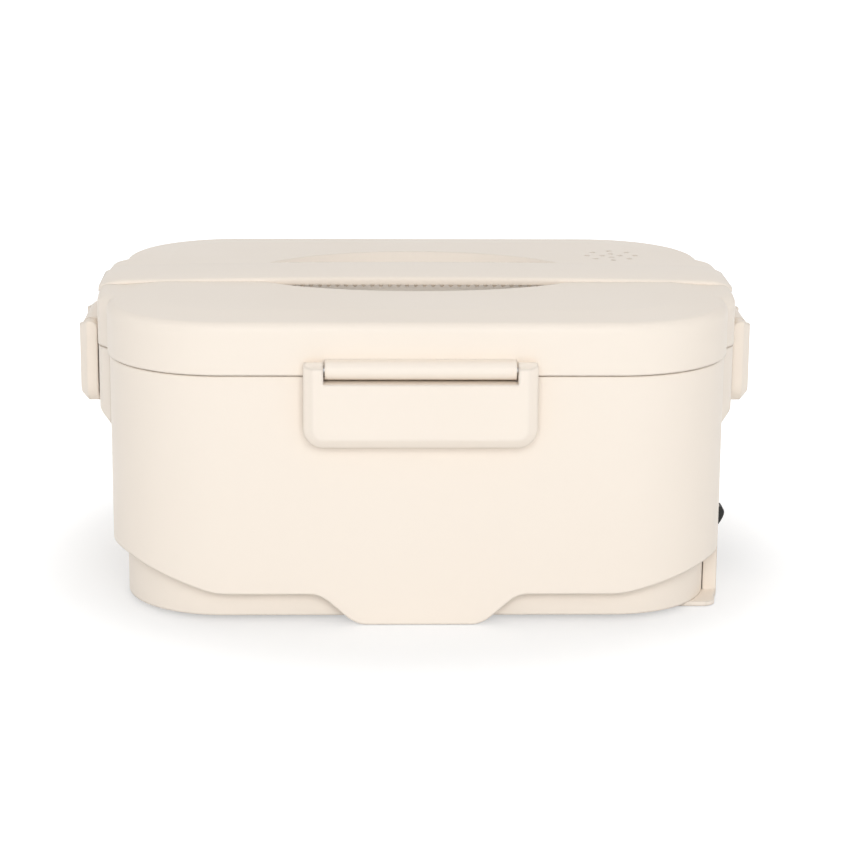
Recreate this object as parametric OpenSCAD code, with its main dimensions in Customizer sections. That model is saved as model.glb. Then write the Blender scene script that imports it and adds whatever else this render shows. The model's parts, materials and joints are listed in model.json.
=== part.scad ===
// Electric lunch box: a plastic tub with a heating plate under a lift-out steel container,
// and a lift-off lid that four snap latches hold down. The latches hang from barrels on the lid.
// Millimetres, +Z up, front at -Y, right-hand end at +X.
// The origin lies on the resting surface, under the middle of the box.

/* [Outer form] */
// Length of the lid without its end blocks
lid_length = 211; // [200:1:240]
// Depth of the lid from front to back
lid_depth = 156.6; // [150:0.2:180]
// Corner radius of the lid, seen from above
lid_corner_r = 40; // [36:1:46]
// Height of the body's top edge above the table
body_h = 85.6; // [82:0.1:110]
// Height of the lid from its lower edge to its flat top
lid_h = 18.6; // [18:0.1:26]
// Open groove between the body and the lid's lower edge
lid_gap = 0.5; // [0.4:0.1:1.4]
// How far the lid stands out past the body all round
lid_overhang = 0.7; // [0.4:0.1:1.2]

/* [Body shell] */
// Wall thickness of the body shell
body_wall = 2.2; // [1.6:0.1:2.6]
// Height of the shell's lower edge along the front and the back
skirt_low_z = 10.9; // [8:0.1:15]
// Height of the shell's lower edge on the left-hand end
skirt_high_z = 21; // [17:0.1:22]
// Height of the shell's lower edge on the right-hand end
skirt_right_z = 18; // [15:0.1:21]
// Distance from the middle at which the lower edge starts to rise
skirt_rise_x = 64; // [50:0.5:66]
// Length over which the lower edge rises
skirt_run = 40; // [25:0.5:44]
// Half width of the front and rear tongues where they leave the lower edge
tongue_top_x = 36.5; // [28:0.5:45]
// Half width of the tongues at the table
tongue_foot_x = 17.5; // [12:0.5:24]
// Air under the tongues and under the socket housing
tongue_air = 0.3; // [0.1:0.1:1]
// Share of the tongues' slopes that is rounded at either end
tongue_ease = 0.38; // [0.1:0.02:0.5]
// Distance of the socket housing's sides from the lid's front and rear
housing_in_y = 33.3; // [22.3:0.1:33.3]
// Distance of the housing's foot plate from the lid's front and rear
foot_plate_in_y = 19.8; // [18.3:0.1:21.3]
// Distance of the foot plate from the middle
foot_plate_x = 88; // [87.5:0.5:94]
// How far the foot plate's corners lie in from the lid's end
foot_plate_in = 3; // [2.5:0.1:5]
// Radius of those corners
foot_plate_r = 4.5; // [3:0.5:8]
// Height of the ledge that stands on the base cover
ledge_z = 24; // [23:0.1:25]
// Thickness of that ledge and of the tongues' lower lips
lip_t = 2; // [1.5:0.1:2.4]

/* [End blocks] */
// Half width of an end block on its outer face
block_half_w = 31.2; // [26:0.1:36]
// How far the middle of an end block stands out from the lid's end
block_out = 5.2; // [4:0.1:6.5]
// How much the block's outer face falls back towards its edges
block_bow = 1; // [0.2:0.1:1.6]
// Extra half width where an end block meets the wall
block_bevel = 6; // [3:0.5:8]
// Width over which a block's upright edges are rounded
block_round = 4; // [2:0.5:5]
// Height of the blocks' lower end above the table
block_foot_z = 58.6; // [52:0.1:61]
// Height over which a block's lower end runs into the wall
block_taper_h = 6.2; // [4:0.1:6.6]
// How far the blocks' top lies below the lid's flat top
block_drop = 1; // [0.8:0.1:2]
// How far the body's blocks stand back from the lid's
block_step = 0.2; // [0.1:0.1:0.8]

/* [Lid shell] */
// Wall thickness of the lid's skirt
lid_wall = 2.2; // [1.8:0.1:2.4]
// Thickness of the lid's roof
lid_roof = 2.6; // [2.2:0.1:3]
// Radius of the lid's upper edge
lid_edge_r = 3.3; // [2.5:0.1:4]
// Width of the sloping band round the flat top
band_w = 13.7; // [8:0.1:18]
// How much that band falls
band_drop = 1.1; // [0.6:0.1:1.8]
// Radius of the two rings of steam holes
vent_ring_r = [3.3, 8.8];
// Number of holes on each ring
vent_ring_n = [4, 8];
// Radius of a steam hole
vent_hole_r = 1; // [0.6:0.1:1.2]
// Distance of the steam holes from the lid's right-hand end
vent_in_x = 32.5; // [30:0.5:37]
// Distance of the steam holes from the lid's rear
vent_in_y = 42.9; // [39:0.1:48]

/* [Handle] */
// Width of the carrying handle
handle_w = 29; // [24:0.2:34]
// Height of the handle's middle above the lid's flat top
handle_rise = 1.7; // [1.2:0.1:3]
// Thickness of the handle in the middle
handle_t = 2.8; // [2.4:0.1:3.4]
// How much the handle falls from its middle to where its ends turn down
handle_arch = 1.2; // [0.5:0.1:1.6]
// How much the handle's ends turn down
handle_end_drop = 2.3; // [1.5:0.1:3]
// Length over which they turn down
handle_end_l = 9.2; // [6:0.2:12]
// Spacing of the grip ribs under the handle
rib_pitch = 3.05; // [2.4:0.05:5]
// Radius of a grip rib
rib_r = 0.8; // [0.5:0.1:1]
// How far the ribs' middle hangs below the handle's underside
rib_drop = 0.5; // [0.4:0.1:1.2]
// How far the ribs stop short of the handle's long edges
rib_set_back = 3; // [1:0.5:5]
// Half length of the ribbed stretch
grip_half_l = 46; // [30:0.5:50]
// Half length of the finger recess
recess_half_l = 60; // [54:0.5:64]
// Reach of the finger recess to the front
recess_front = 31.3; // [26:0.1:36]
// Reach of the finger recess to the back
recess_rear = 43.9; // [34:0.1:46]
// Depth of the finger recess below the lid's flat top
recess_depth = 11.5; // [8:0.1:11.5]
// How far the recess walls lean in on their upper half
recess_lean = 3.2; // [2:0.1:5]
// How far they curve in at the recess floor
recess_toe = 12; // [8:0.5:14]
// Thickness of the recess wall
recess_wall = 1.8; // [1.4:0.1:2]
// Distances of the handle's screws from the lid's ends
handle_screw_in = [33.5, 11.5];

/* [Latches] */
// How far the wide latches stand out from the lid's wall
latch_out = 7.3; // [6.8:0.1:8]
// How far the end latches stand out from their blocks
end_latch_out = 6.7; // [6.5:0.1:7.5]
// Gap between a latch's back and the lid's wall or block
latch_back = 0.4; // [0.35:0.05:0.8]
// Height of the wide latches' lower end above the table
latch_foot_z = 63; // [61:0.1:64]
// How much lower the end latches hang
end_latch_drop = 1.2; // [0:0.1:1.5]
// Half width of the front and rear latches
wide_latch_half = 38.3; // [30:0.1:44]
// Half width of the latches on the ends
end_latch_half = 17.9; // [15:0.1:22]
// Width of a wide latch's ears
wide_ear_w = 6.6; // [5:0.1:8]
// Width of an end latch's ears
end_ear_w = 5; // [4.5:0.1:6]
// Wall thickness of a latch
latch_wall = 2; // [1.6:0.1:2.4]
// Width of the bevel round a latch's face
latch_bevel_w = 2.9; // [2:0.1:4]
// Depth of that bevel
latch_bevel_t = 2.5; // [1.5:0.1:3]
// Radius of a latch's lower corners
latch_corner_r = 6.5; // [4:0.1:8]
// Radius of the wide latches' upper corners
latch_top_r = 1.6; // [1:0.1:3]
// Radius of the end latches' upper corners
end_latch_top_r = 0.8; // [0.4:0.1:3]
// Distance of the hinge axis from the lid's wall
hinge_out = 3; // [3:0.1:3.5]
// Height of the hinge axis above the lid's lower edge
hinge_up = 2.5; // [2.5:0.1:4]
// Radius of the hinge barrels on the lid
hinge_r = 3; // [2.6:0.1:3]
// Radius of a latch pin
pin_r = 1; // [0.8:0.1:1.2]
// Depth of the pin holes in the ears
pin_hole_depth = 4; // [3:0.1:4.4]
// Height of the catch ridges' lower face above the latches' lower end
ridge_up = 5; // [4.6:0.1:6]
// How far a catch ridge stands out past the lid's wall line
ridge_out = 2.4; // [2.2:0.1:2.8]
// How deep a latch's hook reaches behind its ridge
hook_bite = 0.8; // [0.4:0.1:1]

/* [Liner and container] */
// How far the liner's wall stands back from the lid's outline
liner_inset = 8; // [7:0.1:9]
// Wall thickness of the liner
liner_wall = 1.8; // [1.5:0.1:2]
// Height of the liner's floor above the table
liner_floor_z = 27; // [26.6:0.1:32]
// Sheet thickness of the steel container
steel_t = 0.8; // [0.5:0.1:1]
// Width of the container's outer rim
steel_rim_w = 6; // [5:0.1:6.5]
// Depth of the step that carries the tray, below the rim
tray_step = 2.6; // [2.2:0.1:4]
// Width of that step
tray_step_w = 3; // [2.5:0.1:4]
// Depth of the side-dish tray
tray_depth = 28; // [18:0.5:40]
// Wall thickness of the tray
tray_wall = 1.2; // [0.9:0.1:1.5]
// Length of the tray as a share of the container's mouth
tray_share = 0.5; // [0.35:0.05:0.6]

/* [Heater] */
// Gap between the plate's flange and the liner's wall
plate_margin = 12.6; // [11.6:0.1:18]
// Corner radius of the heating plate
plate_r = 20; // [12:1:28]
// Width of the plate's flange
plate_flange = 8; // [7.8:0.1:9]
// Thickness of the plate's flange
plate_t = 1.6; // [1.2:0.1:2]
// How far the plate's middle stands proud of the liner's floor
plate_proud = 0.4; // [0.2:0.1:0.8]
// Thickness of the silicone gasket on the flange
plate_seal_t = 0.6; // [0.4:0.1:0.8]
// Length of a heating element
ptc_l = 70; // [50:1:76]
// Width of a heating element
ptc_w = 22; // [18:0.5:24]
// Thickness of a heating element
ptc_t = 6; // [4:0.1:6.5]
// Distance of the heating elements from the middle, front and back
ptc_y = 16; // [14:0.5:18]
// Sheet thickness of the element clamps
clamp_t = 1.2; // [0.8:0.1:1.4]
// Radius of the thermostat
thermostat_r = 8; // [6:0.5:9]
// Thickness of the insulating mat
mat_t = 4; // [2:0.5:5]

/* [Base] */
// How far the base stands back from the body's wall
base_inset = 5; // [4.6:0.1:5.6]
// Thickness of the base cover
base_t = 2; // [1.6:0.1:2.4]
// Height of the feet under the base cover
foot_h = 2; // [1.2:0.1:3]
// Radius of a foot
foot_r = 6.5; // [5:0.5:8]
// Distance of the feet from the lid's ends
foot_in_x = 43.5; // [39.5:0.5:55.5]
// Distance of the feet from the lid's front and rear
foot_in_y = 28.3; // [26.3:0.1:32.3]
// Distance of the base screws from the lid's ends
screw_in_x = 21.5; // [20.5:0.5:22.5]
// Distance of the base screws from the lid's front and rear
screw_in_y = 34.3; // [30.3:0.1:36.3]
// Radius of a base screw
screw_r = 1.5; // [1.2:0.1:1.7]
// Radius of a base screw's head
screw_head_r = 3; // [2.6:0.1:3.2]

/* [Power socket] */
// Width of the socket's body
socket_w = 30; // [26:0.5:32]
// Height of the socket's body
socket_h = 14; // [12:0.2:15]
// Depth of the socket's body
socket_d = 18; // [16:0.2:20]
// Height of the socket's middle above the table
socket_z = 18; // [17:0.1:18.5]
// Wall round the socket's cavity
socket_wall = 2.5; // [2:0.1:3]
// Spacing of the two contact pins
socket_pin_gap = 9; // [8:0.1:12]
// Radius of a contact pin
socket_pin_r = 1.2; // [1:0.1:1.4]
// Length of the socket's cover
cover_w = 46; // [42:0.5:50]
// Height of the socket's cover below its hinge
cover_h = 13.4; // [12:0.2:14]
// Height of the cover's hinge above the socket's middle
cover_hinge_up = 8.6; // [8:0.1:9]
// Thickness of the cover
cover_t = 2.2; // [1.6:0.1:3]
// Thickness of the lifting tab at the cover's lower edge
tab_tip_t = 1.6; // [1.2:0.1:2.4]
// Thickness of the lifting tab at its swelling
tab_t = 4.4; // [4:0.1:5.2]
// Length of the lifting tab at the cover's front end
tab_w = 6; // [5:0.5:14]
// Radius of the indicator lens
lens_r = 2; // [1.5:0.1:2.5]
// Distance of the indicator from where the end wall starts to curve
lens_in = 4.3; // [4.3:0.1:6.3]

/* [Hidden] */
$fn = 64;

// Clearances
eps = 0.01;          // overlap of shapes that become one solid
seat_gap = 0.1;      // between pieces of different bodies that sit on each other
slide_gap = 0.3;     // between pieces of different bodies that slide past each other
screw_gap = 0.02;    // round a screw in its own thread
pass_gap = 0.3;      // round a screw or boss that passes through
run_gap = 0.05;      // round a pin that turns in its hole
ear_gap = 0.45;      // between a barrel's end and a latch's ear
slot_gap = 0.9;      // between a barrel and the latch below it
brow_up = 1.2;       // height of a latch's upper edge above its hinge axis
face_rise = 0.3;     // how far a latch's corner rounding starts above its ears
over = 1;            // how far a cut reaches past what it cuts
base_seat_gap = 0.05; // between the base cover and what it is screwed against
handle_gap = 0.15;   // round the handle where it lies in the lid
window_gap = 0.5;    // round what passes through a window in the base cover

// Heights of the lid
lid_edge_z = body_h + lid_gap;
lid_top_z = lid_edge_z + lid_h;
block_top_z = lid_top_z - block_drop;
handle_top_z = lid_top_z + handle_rise;
handle_seat_z = handle_top_z - handle_t;
roof_z = lid_top_z - lid_roof;

// Insets from the lid's outline
shell_in = lid_overhang + body_wall;
base_out = lid_overhang + base_inset;
rim_in = lid_wall + slide_gap;
liner_in = liner_inset + liner_wall;
pot_in = liner_in + 0.5;
step_in = pot_in + steel_t;
pot_low_in = step_in + tray_step_w - steel_t;

// Heights inside
liner_rim_z = body_h + liner_wall;
pot_rim_z = liner_rim_z + steel_t;
step_z = liner_rim_z - tray_step;
plate_top_z = liner_floor_z + liner_wall + plate_proud;
plate_z = liner_floor_z - plate_seal_t - plate_t;
pot_z = plate_top_z + seat_gap;
panel_z = pot_rim_z + 1;
panel_t = 1.8;
seal_in = 7.2;
seal_w = 2;
seal_lip = 1.5;
seal_key_h = 0.8;
valve_r = 4;
valve_flange_w = 2;
valve_lock_w = 0.8;
valve_lock_h = 1;
valve_bore_r = 0.8;
snap_w = 1;
snap_root = 0.2;
snap_h = 0.7;
snap_in = 55;
hook_side = 4;
tray_corner_r = 8;
base_top_z = ledge_z - base_seat_gap;
block_end = lid_length / 2 + block_out;
ptc_z = plate_z - ptc_t;

// Handle
handle_bend_x = block_end - handle_end_l;
handle_end_seat_z = handle_top_z - handle_arch - handle_end_drop - 1.6;

// Power socket
wall_x = lid_length / 2 - lid_overhang;
cover_axis = [wall_x + 1.4, 0, socket_z + cover_hinge_up];
cover_bead_r = 1.1;
stub_r = 0.6;
cover_side = 3;
cover_lug_w = 2;
tab_head = 0.3;
tab_peak = 0.18;
tab_toe = 0.62;
// Screws and their bosses
boss_wall = 2;
well_h = 2.8;
base_screw_l = 14;
base_head_h = 1.8;
boss_foot_z = foot_h + base_t + well_h;
base_cover_top = foot_h + base_t;
hinge_z = lid_edge_z + hinge_up;
slot_z = hinge_z - hinge_r - slot_gap;
ear_r = hinge_r - slide_gap;
base_boss_wall = 1.6;
plate_screw_r = 1;
plate_screw_l = 2.8;
plate_head_h = 1.6;
plate_boss_r = 2.5;
clamp_screw_r = 1;
clamp_screw_l = 4.2;
clamp_head_r = 2.2;
clamp_head_h = 1.4;
handle_screw_r = 1.25;
handle_screw_l = 3.6;
handle_head_r = 4.2;
handle_head_h = 1.5;
handle_boss_r = 3;
hole_spare = 0.2;
handle_boss_h = 2.2;
roof_pad = 1.2;
pad_in = 3;
pad_side = 2;

// Places
housing_half_w = lid_depth / 2 - housing_in_y;
foot_plate_half_w = lid_depth / 2 - foot_plate_in_y;
plate_l = lid_length - 2 * (liner_in + plate_flange + plate_margin);
plate_w = lid_depth - 2 * (liner_in + plate_flange + plate_margin);
vent_x = lid_length / 2 - vent_in_x;
vent_y = lid_depth / 2 - vent_in_y;
foot_x = lid_length / 2 - foot_in_x;
foot_y = lid_depth / 2 - foot_in_y;
screw_x = lid_length / 2 - screw_in_x;
screw_y = lid_depth / 2 - screw_in_y;
lens_y = lid_depth / 2 - lid_corner_r - lens_in;
handle_screw_x = [for (d = handle_screw_in) lid_length / 2 - d];
screw_places = [for (sx = [-1, 1], sy = [-1, 1]) [sx * screw_x, sy * screw_y]];
flange_mid = plate_flange / 2;
plate_screw_places = concat(
  [for (sx = [-1, 1], sy = [-1, 1]) [sx * plate_l * 0.3, sy * (plate_w / 2 + flange_mid)]],
  [for (sx = [-1, 1]) [sx * (plate_l / 2 + flange_mid), 0]]);
clamp_half_w = 6;
clamp_foot_l = 4;
clamp_fit = 0.3;
clamp_y = ptc_y + ptc_w / 2 + 7;
clamp_x = 22;
fuse_r = 2;
fuse_l = 12;
fuse_lead_r = 0.5;
fuse_lead_l = 3;
clip_t = 0.8;
clip_half_w = 3;
thermostat_h = 5;
sensor_in = 16.1;
sensor_x = plate_l / 2 - sensor_in;
sensor_y = 20;
wire_r = 0.9;
lug_w = 3;
lug_l = 5;
board_t = 1.2;
board_w = 14;
board_h = 11;
lamp_gap = 1;
mat_in_x = 7;
mat_in_y = 15;
mat_r = 10;
socket_back_t = 3;
flange_t = 2;
flange_out = 3;
flange_up = 1.5;
pin_tail = 2.5;
lens_flange_t = 1.2;
lens_flange_w = 0.8;
lens_proud = 0.4;
lamp_r = 1.5;
board_x = wall_x - body_wall - lens_flange_t - lamp_gap - board_t;
post_t = 2;
foot_stem_in = 3;
foot_lock_w = 0.8;

cream = [0.95, 0.91, 0.85];
black = [0.16, 0.16, 0.16];
steel = [0.75, 0.76, 0.78];

// ---- shared shapes ----

// Rises from 0 to 1 as t goes from 0 to 1, straight with rounded ends
function ease(t, e = 0.2) =
  t <= 0 ? 0 : t >= 1 ? 1
  : t < e ? t * t / (2 * e * (1 - e))
  : t > 1 - e ? 1 - (1 - t) * (1 - t) / (2 * e * (1 - e))
  : (t - e / 2) / (1 - e);

// Points of an oval whose front and rear halves reach differently far
function oval(a, front, rear, n = 48) =
  [for (i = [0 : n - 1]) let (s = sin(i * 360 / n)) [a * cos(i * 360 / n), (s < 0 ? front : rear) * s]];

module rounded_rect(l, w, r) {
  square([l - 2 * r, w], center = true);
  square([l, w - 2 * r], center = true);
  for (sx = [-1, 1], sy = [-1, 1]) translate([sx * (l / 2 - r), sy * (w / 2 - r)]) circle(r);
}

// The lid's outline, moved in by d
module outline(d) {
  rounded_rect(lid_length - 2 * d, lid_depth - 2 * d, lid_corner_r - d);
}

// A wall or ring between two insets of that outline
module ring(d_out, d_in, z0, z1) {
  translate([0, 0, z0]) linear_extrude(z1 - z0) difference() {
    outline(d_out);
    outline(d_in);
  }
}

module slab(d, z0, z1) {
  translate([0, 0, z0]) linear_extrude(z1 - z0) outline(d);
}

// Outline moved in by d, solid, with an edge profile of [inset, z] points from bottom to top
module rim_block(d, profile) {
  r = lid_corner_r - d;
  hx = lid_length / 2 - d - r;
  hy = lid_depth / 2 - d - r;
  low = profile[0][1];
  high = profile[len(profile) - 1][1];
  pts = concat([for (p = profile) [r - p[0], p[1]]], [[0, high], [0, low]]);
  for (sx = [-1, 1], sy = [-1, 1]) translate([sx * hx, sy * hy, 0]) rotate_extrude() polygon(pts);
  for (s = [-1, 1]) {
    translate([0, s * hy, 0]) rotate([90, 0, s * 90]) linear_extrude(2 * hx, center = true) polygon(pts);
    translate([s * hx, 0, 0]) rotate([90, 0, s > 0 ? 0 : 180])
      linear_extrude(2 * hy, center = true) polygon(pts);
  }
  translate([-hx, -hy, low]) cube([2 * hx, 2 * hy, high - low]);
}

// A shape drawn in X and Z, carried from y0 to y1
module across_y(y0, y1) {
  translate([0, y1, 0]) rotate([90, 0, 0]) linear_extrude(y1 - y0) children();
}

// A shape drawn in Y and Z, carried from x0 to x1
module across_x(x0, x1) {
  translate([x0, 0, 0]) rotate([90, 0, 90]) linear_extrude(x1 - x0) children();
}

// The four sides that carry latches: wide ones at the front and rear, narrow ones on the end blocks
SIDES = ["front", "rear", "left", "right"];
function wide(side) = side == "front" || side == "rear";
function side_turn(side) = side == "front" ? 180 : side == "rear" ? 0 : side == "left" ? 90 : -90;
function side_face(side) = wide(side) ? lid_depth / 2 : block_end;
function latch_half(side) = wide(side) ? wide_latch_half : end_latch_half;
function slot_half(side) = latch_half(side) - (wide(side) ? wide_ear_w : end_ear_w);
function latch_front(side) = wide(side) ? latch_out : end_latch_out;
function foot_z(side) = latch_foot_z - (wide(side) ? 0 : end_latch_drop);
function ridge_z(side) = foot_z(side) + ridge_up;

// Places a child drawn with X along the side, Y outwards from the lid's face and Z up
module at_side(side) {
  rotate([0, 0, side_turn(side)]) translate([0, side_face(side), 0]) children();
}

// Plan of one end block at +X, moved in by d: bowed outer face, rounded edges, bevels to the wall
module block_plan(d = 0) {
  root = lid_length / 2 - 12;
  half = block_half_w - d;
  edge_x = block_end - block_bow - d;
  // one rounded edge, as a curve that leaves the face at a and reaches the bevel at c
  a = [block_end - d - block_bow * pow((half - block_round) / half, 2), half - block_round];
  b = [edge_x, half];
  c = b + [lid_length / 2 - d - edge_x, block_bevel] * 0.4;
  edge = [for (t = [0 : 0.2 : 1]) (1 - t) * (1 - t) * a + 2 * t * (1 - t) * b + t * t * c];
  face = [for (t = [-0.9 : 0.3 : 0.9]) let (y = t * a[1]) [block_end - d - block_bow * pow(y / half, 2), y]];
  flank = [[lid_length / 2 - d, half + block_bevel], [root, half + block_bevel]];
  polygon(concat([for (i = [1, 0]) [flank[i][0], -flank[i][1]]],
    [for (i = [5 : -1 : 0]) [edge[i][0], -edge[i][1]]], face, edge, flank));
}

module both_ends() {
  children();
  mirror([1, 0, 0]) children();
}

// Hinge barrel on its web, centred on the hinge axis, less the pin's bore
module barrel(side) {
  half = slot_half(side) - ear_gap;
  at_side(side) translate([0, 0, hinge_z]) difference() {
    across_x(-half, half) {
      translate([hinge_out, 0]) circle(hinge_r);
      translate([-1, -hinge_r]) square([hinge_out + 1, 2 * hinge_r]);
    }
    translate([-half - over, hinge_out, 0]) rotate([0, 90, 0])
      cylinder(r = pin_r + screw_gap, h = 2 * (half + over));
  }
}

// Screw with its head down, its head's upper face at the origin
module screw(r, length, head_r, head_h) {
  translate([0, 0, -eps]) cylinder(r = r, h = length + eps);
  translate([0, 0, -head_h]) difference() {
    cylinder(r = head_r, h = head_h);
    translate([0, 0, -eps]) cylinder(r = r * 0.7, h = head_h / 2 + eps, $fn = 6);
  }
}

// ---- body ----

// What lies below the shell's lower edge
module below_edge() {
  far = lid_length;
  // the edge's heights at one end, from the middle outwards
  function rise(z) = [for (t = [0 : 0.0625 : 1]) [skirt_rise_x + t * skirt_run,
    skirt_low_z + (z - skirt_low_z) * ease(t)]];
  left = rise(skirt_high_z);
  right = rise(skirt_right_z);
  across_y(-lid_depth, lid_depth)
    polygon(concat([[-far, -1], [-far, skirt_high_z]],
      [for (i = [len(left) - 1 : -1 : 0]) [-left[i][0], left[i][1]]], right,
      [[far, skirt_right_z], [far, -1]]));
}

// The same without the tongues and the socket housing
module under_skirt() {
  tongue = [for (t = [0 : 0.0625 : 1]) [tongue_top_x - t * (tongue_top_x - tongue_foot_x),
    skirt_low_z + (tongue_air - skirt_low_z) * ease(t, tongue_ease)]];
  difference() {
    below_edge();
    across_y(-lid_depth - 1, lid_depth + 1)
      polygon(concat([for (p = tongue) [-p[0], p[1]]], [for (i = [len(tongue) - 1 : -1 : 0]) tongue[i]],
        [[tongue_top_x, skirt_high_z], [-tongue_top_x, skirt_high_z]]));
    translate([0, -housing_half_w, -2]) cube([lid_length + 1, 2 * housing_half_w, skirt_high_z + 4]);
  }
}

// Plan of the housing's foot plate: the shell's outline with tighter corners
module foot_plate_plan() {
  edge_x = lid_length / 2 - foot_plate_in;
  intersection() {
    union() {
      outline(lid_overhang + eps);
      translate([edge_x / 2, 0]) rounded_rect(edge_x, 2 * foot_plate_half_w, foot_plate_r);
    }
    translate([foot_plate_x, -foot_plate_half_w]) square([lid_length, 2 * foot_plate_half_w]);
  }
}

module block_side(z_top, d = 0) {
  foot = block_foot_z + d;
  face = block_end - block_step - d;
  wall = wall_x - d;
  taper = [for (t = [0 : 0.125 : 1]) [wall + (face - wall) * ease(t), foot + t * block_taper_h]];
  across_y(-lid_depth, lid_depth)
    polygon(concat([[0, foot]], taper, [[face, z_top], [0, z_top]]));
}

module body_block(z_top, d = 0) {
  intersection() {
    translate([0, 0, block_foot_z - 1]) linear_extrude(lid_h + body_h) block_plan(block_step + d);
    block_side(z_top, d);
  }
}

module catch_ridge(side) {
  half = slot_half(side) - 2.5;
  root = -lid_overhang - 1;
  at_side(side) translate([0, 0, ridge_z(side)]) across_x(-half, half)
    polygon([[root, 0], [ridge_out, 0], [ridge_out, 1], [root, 1 + ridge_out - root]]);
}

module cover_lugs() {
  for (s = [-1, 1]) translate([0, s * (cover_w / 2 + slide_gap + cover_lug_w / 2), 0]) difference() {
    union() {
      translate([cover_axis[0], 0, cover_axis[2]]) rotate([90, 0, 0])
        cylinder(r = cover_bead_r, h = cover_lug_w, center = true);
      translate([wall_x - 1, -cover_lug_w / 2, cover_axis[2] - cover_bead_r])
        cube([cover_axis[0] - wall_x + 1, cover_lug_w, 2 * cover_bead_r]);
    }
    translate([cover_axis[0], 0, cover_axis[2]]) rotate([90, 0, 0])
      cylinder(r = stub_r + run_gap, h = cover_lug_w + 2 * over, center = true);
  }
}

module outer_shell() color(cream) {
  difference() {
    union() {
      ring(lid_overhang, shell_in, tongue_air, body_h);
      ring(lid_overhang + eps, base_out - pass_gap, tongue_air, tongue_air + lip_t);
      ring(lid_overhang + eps, base_out + base_t, ledge_z, ledge_z + lip_t);
      // side walls of the socket housing, up to the ledge
      for (s = [-1, 1]) intersection() {
        ring(lid_overhang + eps, base_out - pass_gap, tongue_air, ledge_z + eps);
        translate([0, s * (housing_half_w - body_wall / 2) - body_wall / 2, 0])
          cube([lid_length, body_wall, ledge_z + over]);
      }
      both_ends() difference() {
        body_block(body_h);
        slab(shell_in, 0, lid_top_z);
      }
      for (side = SIDES) catch_ridge(side);
      cover_lugs();
    }
    under_skirt();
    // the end blocks are hollow from inside
    both_ends() intersection() {
      body_block(body_h - body_wall, body_wall);
      translate([0, -block_half_w, block_foot_z + block_taper_h])
        cube([lid_length, 2 * block_half_w, body_h]);
    }
    // socket, its retaining flange, and the indicator
    translate([wall_x - socket_d / 2, -socket_w / 2 - screw_gap, socket_z - socket_h / 2 - screw_gap])
      cube([socket_d, socket_w + 2 * screw_gap, socket_h + 2 * screw_gap]);
    translate([wall_x - base_out - base_t, -socket_w / 2 - flange_out - over, ledge_z - over])
      cube([base_out + base_t - body_wall, socket_w + 2 * (flange_out + over), lip_t + 2 * over]);
    translate([wall_x - 2 * body_wall, lens_y, socket_z]) rotate([0, 90, 0])
      cylinder(r = lens_r + screw_gap, h = 4 * body_wall);
  }
  // foot plate of the housing, under the base cover
  translate([0, 0, tongue_air]) linear_extrude(foot_h - seat_gap - tongue_air) foot_plate_plan();
}

module inner_liner() color([0.9, 0.87, 0.82]) difference() {
  union() {
    ring(rim_in, liner_in, body_h, liner_rim_z);
    ring(liner_inset, liner_in, liner_floor_z, body_h + eps);
    slab(liner_inset, liner_floor_z, liner_floor_z + liner_wall);
    for (p = screw_places) translate([p[0], p[1], boss_foot_z])
      cylinder(r = screw_r + boss_wall, h = liner_floor_z - boss_foot_z + eps);
    for (p = plate_screw_places) translate([p[0], p[1], plate_z + seat_gap])
      cylinder(r = plate_boss_r, h = liner_floor_z - plate_z);
  }
  translate([0, 0, liner_floor_z - over]) linear_extrude(liner_wall + 2 * over)
    rounded_rect(plate_l + 2 * pass_gap, plate_w + 2 * pass_gap, plate_r + pass_gap);
  for (p = screw_places) translate([p[0], p[1], boss_foot_z - over])
    cylinder(r = screw_r + screw_gap, h = liner_floor_z - boss_foot_z + over);
  for (p = plate_screw_places) translate([p[0], p[1], plate_z - over])
    cylinder(r = plate_screw_r + screw_gap, h = liner_floor_z - plate_z + 2 * over);
}

module plate_flange_plan(inset) {
  f = plate_flange - inset;
  difference() {
    rounded_rect(plate_l + 2 * f, plate_w + 2 * f, plate_r + f);
    for (p = plate_screw_places) translate(p) circle(plate_boss_r + pass_gap / 2);
  }
}

module plate_gasket() color([0.7, 0.32, 0.22])
  translate([0, 0, plate_z + plate_t]) linear_extrude(plate_seal_t) difference() {
    plate_flange_plan(0.5);
    rounded_rect(plate_l + 1, plate_w + 1, plate_r + 0.5);
  }

module heating_plate() color([0.8, 0.81, 0.83]) difference() {
  union() {
    translate([0, 0, plate_z]) linear_extrude(plate_t) plate_flange_plan(0);
    translate([0, 0, plate_z]) linear_extrude(plate_top_z - plate_z) rounded_rect(plate_l, plate_w, plate_r);
  }
  for (sx = [-1, 1], sy = [-1, 1]) translate([sx * clamp_x, sy * clamp_y, plate_z - over])
    cylinder(r = clamp_screw_r + screw_gap, h = clamp_screw_l);
}

module plate_screws() color(steel)
  for (p = plate_screw_places) translate([p[0], p[1], plate_z])
    screw(plate_screw_r, plate_screw_l, flange_mid - screw_gap, plate_head_h);

module heating_elements() color([0.72, 0.74, 0.77])
  for (s = [-1, 1]) translate([-ptc_l / 2, s * ptc_y - ptc_w / 2, ptc_z]) difference() {
    cube([ptc_l, ptc_w, ptc_t]);
    // closed end seams of the folded case
    for (z = [1, ptc_t - 1.6]) translate([-1, 2, z]) cube([1.6, ptc_w - 4, 0.6]);
  }

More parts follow.
